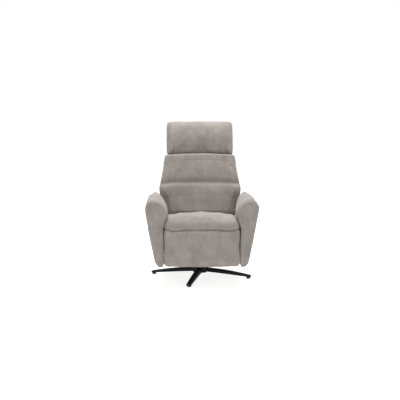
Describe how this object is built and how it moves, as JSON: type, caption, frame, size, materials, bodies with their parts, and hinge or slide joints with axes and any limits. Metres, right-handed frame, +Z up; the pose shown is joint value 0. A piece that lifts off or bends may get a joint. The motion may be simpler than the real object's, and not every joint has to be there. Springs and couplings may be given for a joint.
{
  "type": "swivel lift recliner",
  "caption": "Upholstered swivel recliner on a star base, with a tilting headrest, reclining back, rising footrest and a motor lift linkage under the seat.",
  "frame": {"origin": "on the floor, on the swivel axis", "axes": "+Z up, the chair faces -Y, +X to the sitter's left"},
  "size_m": [0.7392, 0.7966, 1.0742],
  "materials": {
    "upholstery": "soft light warm grey upholstery",
    "base_black": "satin black powder coat",
    "black_steel": "black coated steel",
    "zinc_steel": "zinc plated",
    "plywood": "raw birch plywood",
    "black_plastic": "moulded black plastic",
    "webbing": "woven elastic webbing",
    "nylon": "black nylon",
    "bronze": "sintered bronze"
  },
  "bodies": {
    "base": {"base_hub": "base_black", "base_legs": "base_black", "foot_glides": "nylon", "swivel_spindle": "zinc_steel", "hub_nut": "zinc_steel", "thrust_bearing": "zinc_steel"},
    "turntable": {"swivel_housing": "black_steel", "base_plate": "black_steel", "plate_bolts": "zinc_steel", "lift_base_frame": "black_steel", "lift_brackets": "black_steel", "lift_bushes": "bronze", "lift_base_pins": "zinc_steel", "lift_motor": "black_plastic", "lift_motor_pin": "zinc_steel"},
    "front_links": {"lift_front_links": "black_steel"},
    "rear_links": {"lift_rear_links": "black_steel"},
    "lift_rod": {"lift_motor_rod": "zinc_steel"},
    "chair": {"left_side_plate": "black_steel", "right_side_plate": "black_steel", "chair_cross_tubes": "black_steel", "chair_pivot_pins": "zinc_steel", "seat_frame": "plywood", "seat_webbing": "webbing", "seat_cushion": "upholstery", "left_arm_frame": "plywood", "right_arm_frame": "plywood", "left_arm_pad": "upholstery", "right_arm_pad": "upholstery", "arm_spacers": "zinc_steel", "arm_bolts": "zinc_steel", "rear_apron": "upholstery", "recline_motor": "black_plastic", "footrest_motor": "black_plastic", "chair_motor_pins": "zinc_steel", "control_box": "black_plastic", "power_inlet": "black_plastic", "control_bezel": "black_plastic"},
    "backrest": {"back_board": "plywood", "recline_tube": "black_steel", "tube_saddles": "black_steel", "back_cushion_lower": "upholstery", "back_cushion_upper": "upholstery", "back_shell": "upholstery", "headrest_hinge_plates": "black_steel"},
    "headrest": {"headrest_board": "plywood", "headrest_pins": "zinc_steel", "headrest_cushion": "upholstery"},
    "recline_rod": {"recline_motor_rod": "zinc_steel"},
    "footrest_arms": {"footrest_tube": "black_steel"},
    "footrest_panel": {"footrest_board": "plywood", "footrest_pad": "upholstery", "footrest_runners": "black_steel"},
    "footrest_rod": {"footrest_motor_rod": "zinc_steel"},
    "lift_key": {"lift_button": "black_plastic"},
    "lower_key": {"lower_button": "black_plastic"},
    "recline_key": {"recline_button": "black_plastic"},
    "footrest_key": {"footrest_button": "black_plastic"}
  },
  "joints": [
    {"name": "swivel", "type": "hinge", "parent": "base", "child": "turntable", "pos_m": [0, 0, 0.12], "axis": [0, 0, 1], "continuous": true},
    {"name": "lift", "type": "hinge", "parent": "turntable", "child": "front_links", "pos_m": [0, -0.22, 0.221], "axis": [1, 0, 0], "range_deg": [0, 60]},
    {"name": "lift_tilt", "type": "hinge", "parent": "front_links", "child": "chair", "pos_m": [0, -0.042, 0.195], "axis": [1, 0, 0], "range_deg": [-40.3, 0]},
    {"name": "lift_rear", "type": "hinge", "parent": "turntable", "child": "rear_links", "pos_m": [0, -0.1, 0.234], "axis": [1, 0, 0], "range_deg": [0, 47]},
    {"name": "lift_motor_stroke", "type": "slide", "parent": "turntable", "child": "lift_rod", "axis": [0, -0.9402, 0.3405], "range_m": [0, 0.0559]},
    {"name": "recline", "type": "hinge", "parent": "chair", "child": "backrest", "pos_m": [0, 0.146, 0.361], "axis": [-1, 0, 0], "range_deg": [0, 40]},
    {"name": "recline_motor_stroke", "type": "slide", "parent": "chair", "child": "recline_rod", "axis": [0, 1, 0.0018], "range_m": [-0.0617, 0]},
    {"name": "headrest_tilt", "type": "hinge", "parent": "backrest", "child": "headrest", "pos_m": [0, 0.27891, 0.88109], "axis": [1, 0, 0], "range_deg": [0, 40]},
    {"name": "footrest_swing", "type": "hinge", "parent": "chair", "child": "footrest_arms", "pos_m": [0, -0.33, 0.358], "axis": [-1, 0, 0], "range_deg": [0, 82]},
    {"name": "footrest_slide", "type": "slide", "parent": "footrest_arms", "child": "footrest_panel", "axis": [0, 0, -1], "range_m": [0, 0.1251]},
    {"name": "footrest_motor_stroke", "type": "slide", "parent": "chair", "child": "footrest_rod", "axis": [0, -0.9975, 0.0705], "range_m": [0, 0.0815]},
    {"name": "lift_press", "type": "slide", "parent": "chair", "child": "lift_key", "axis": [0.9814, 0, 0.1921], "range_m": [0, 0.0025], "stiffness_N_per_m": 400},
    {"name": "lower_press", "type": "slide", "parent": "chair", "child": "lower_key", "axis": [0.9814, 0, 0.1921], "range_m": [0, 0.0025], "stiffness_N_per_m": 400},
    {"name": "recline_press", "type": "slide", "parent": "chair", "child": "recline_key", "axis": [0.9814, 0, 0.1921], "range_m": [0, 0.0025], "stiffness_N_per_m": 400},
    {"name": "footrest_press", "type": "slide", "parent": "chair", "child": "footrest_key", "axis": [0.9814, 0, 0.1921], "range_m": [0, 0.0025], "stiffness_N_per_m": 400}
  ],
  "couplings": [
    {"joint": "lift_tilt", "follows": "lift", "ratio": -0.67043},
    {"joint": "lift_rear", "follows": "lift", "ratio": 0.7827},
    {"joint": "lift_motor_stroke", "follows": "lift", "m_per_rad": 0.053266},
    {"joint": "recline_motor_stroke", "follows": "recline", "m_per_rad": -0.088178},
    {"joint": "footrest_slide", "follows": "footrest_swing", "m_per_rad": 0.087341},
    {"joint": "footrest_motor_stroke", "follows": "footrest_swing", "m_per_rad": 0.056842}
  ]
}
